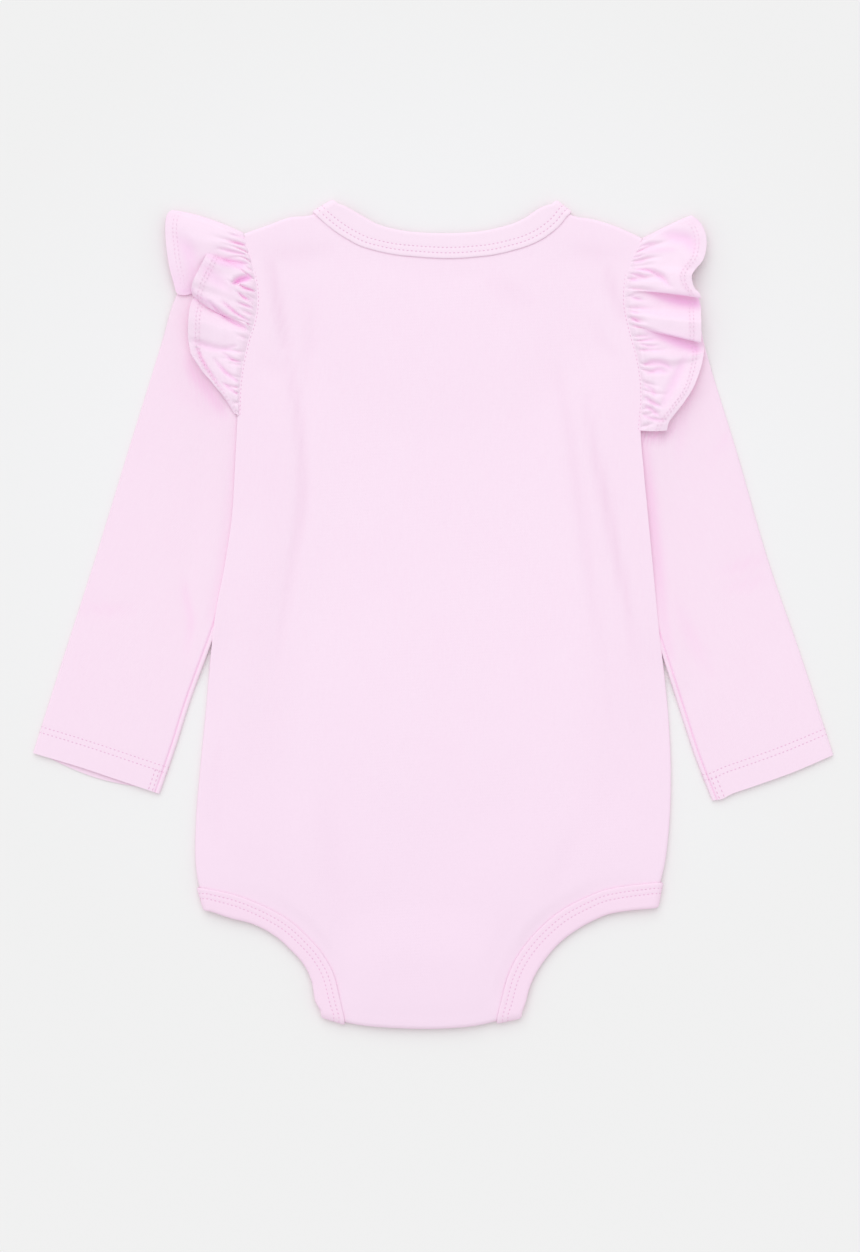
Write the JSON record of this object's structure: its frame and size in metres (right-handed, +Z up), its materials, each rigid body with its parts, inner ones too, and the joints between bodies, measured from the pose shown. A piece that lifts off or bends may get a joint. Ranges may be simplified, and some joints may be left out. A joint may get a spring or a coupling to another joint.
{
  "type": "baby bodysuit",
  "caption": "Long-sleeve baby bodysuit laid flat on its front, with gathered shoulder ruffles, bound neck and leg openings, and a crotch flap closed by press studs.",
  "frame": {"origin": "the point of the surface it lies on below the middle of the body, on the front panel's flat underside", "axes": "+Z up from the surface to the back side, +Y from the crotch towards the neck, +X to the right as the back is seen"},
  "size_m": [0.416, 0.432, 0.0122],
  "materials": {
    "back_jersey": "matte knitted jersey",
    "front_jersey": "matte knitted jersey",
    "sleeve_jersey": "matte knitted jersey",
    "ruffle_jersey": "matte knitted jersey",
    "binding_jersey": "matte knitted jersey, folded double",
    "stud_plastic": "smooth plastic press stud"
  },
  "bodies": {
    "root": {"back_panel": "back_jersey", "front_panel": "front_jersey", "neck_binding": "binding_jersey", "leg_binding_left": "binding_jersey", "leg_binding_right": "binding_jersey", "sleeve_left": "sleeve_jersey", "sleeve_right": "sleeve_jersey", "ruffle_left": "ruffle_jersey", "ruffle_right": "ruffle_jersey", "snap_1": "stud_plastic", "snap_2": "stud_plastic", "snap_3": "stud_plastic"}
  },
  "joints": []
}
